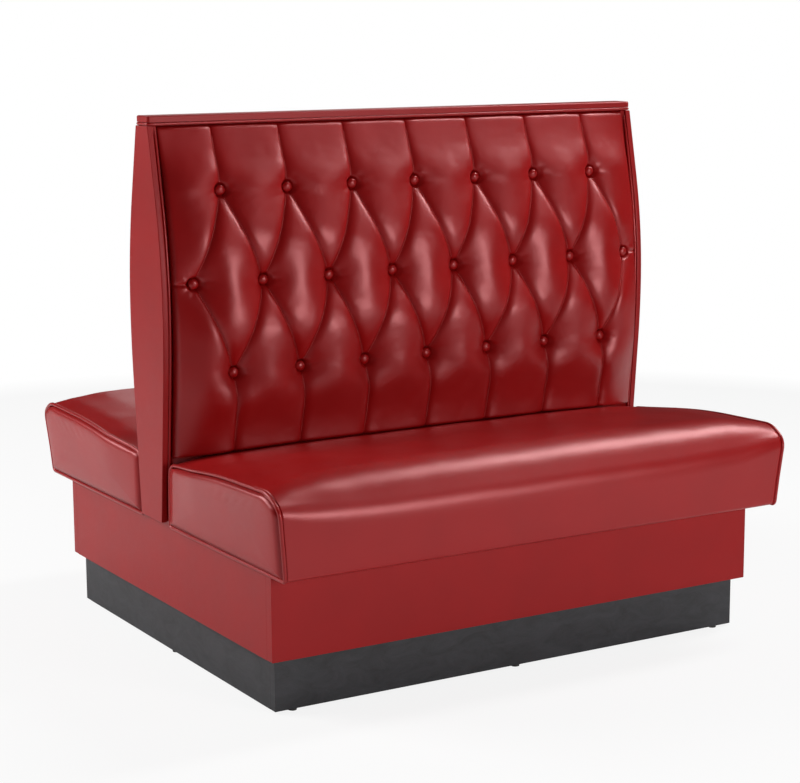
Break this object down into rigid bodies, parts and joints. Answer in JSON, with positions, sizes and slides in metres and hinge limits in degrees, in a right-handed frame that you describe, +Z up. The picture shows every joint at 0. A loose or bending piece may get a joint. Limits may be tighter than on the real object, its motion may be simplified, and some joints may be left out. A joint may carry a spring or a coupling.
{
  "type": "restaurant booth seating",
  "caption": "Double restaurant booth: two vinyl bench seats back to back, a tall button-tufted back with pleats and welts, a low cap, and a box on a recessed dark base.",
  "frame": {"origin": "on the floor, in the middle of the booth's length and depth, at the bottom of the glides", "axes": "+X along the booth to the right of someone facing the front seat, the front seat looks along -Y, +Z up"},
  "size_m": [1.147, 1.1162, 1.071],
  "materials": {
    "red_vinyl": "satin",
    "panel_vinyl": "satin",
    "welt_vinyl": "satin",
    "plywood": "matte",
    "black_board": "matte",
    "glide_plastic": "matte"
  },
  "bodies": {
    "booth": {"back_end_formers": "plywood", "back_foot_cleats": "plywood", "back_foot_rails": "plywood", "back_front_buttons": "red_vinyl", "back_front_pad": "red_vinyl", "back_front_skin": "plywood", "back_left_end_panel": "panel_vinyl", "back_left_welts": "welt_vinyl", "back_middle_formers": "plywood", "back_middle_rails": "plywood", "back_rear_buttons": "red_vinyl", "back_rear_pad": "red_vinyl", "back_rear_skin": "plywood", "back_right_end_panel": "panel_vinyl", "back_right_welts": "welt_vinyl", "back_top_rails": "plywood", "base_bearers": "plywood", "base_corner_blocks": "plywood", "base_front_board": "black_board", "base_left_end": "black_board", "base_rear_board": "black_board", "base_right_end": "black_board", "box_corner_blocks": "plywood", "box_floor_board": "plywood", "box_front_bearer": "plywood", "box_front_fascia": "panel_vinyl", "box_left_end": "panel_vinyl", "box_rear_bearer": "plywood", "box_rear_fascia": "panel_vinyl", "box_ribs": "plywood", "box_right_end": "panel_vinyl", "cap_welt": "welt_vinyl", "floor_glides": "glide_plastic", "top_cap": "red_vinyl"},
    "front_seat": {"front_seat_battens": "plywood", "front_seat_cushion": "red_vinyl", "front_seat_deck": "plywood", "front_seat_welts": "welt_vinyl"},
    "rear_seat": {"rear_seat_battens": "plywood", "rear_seat_cushion": "red_vinyl", "rear_seat_deck": "plywood", "rear_seat_welts": "welt_vinyl"}
  },
  "joints": [
    {"name": "front_seat_draw", "type": "slide", "parent": "booth", "child": "front_seat", "axis": [0, -0.97, 0.243], "range_m": [0, 0.12]},
    {"name": "rear_seat_draw", "type": "slide", "parent": "booth", "child": "rear_seat", "axis": [0, 0.97, 0.243], "range_m": [0, 0.12]}
  ]
}
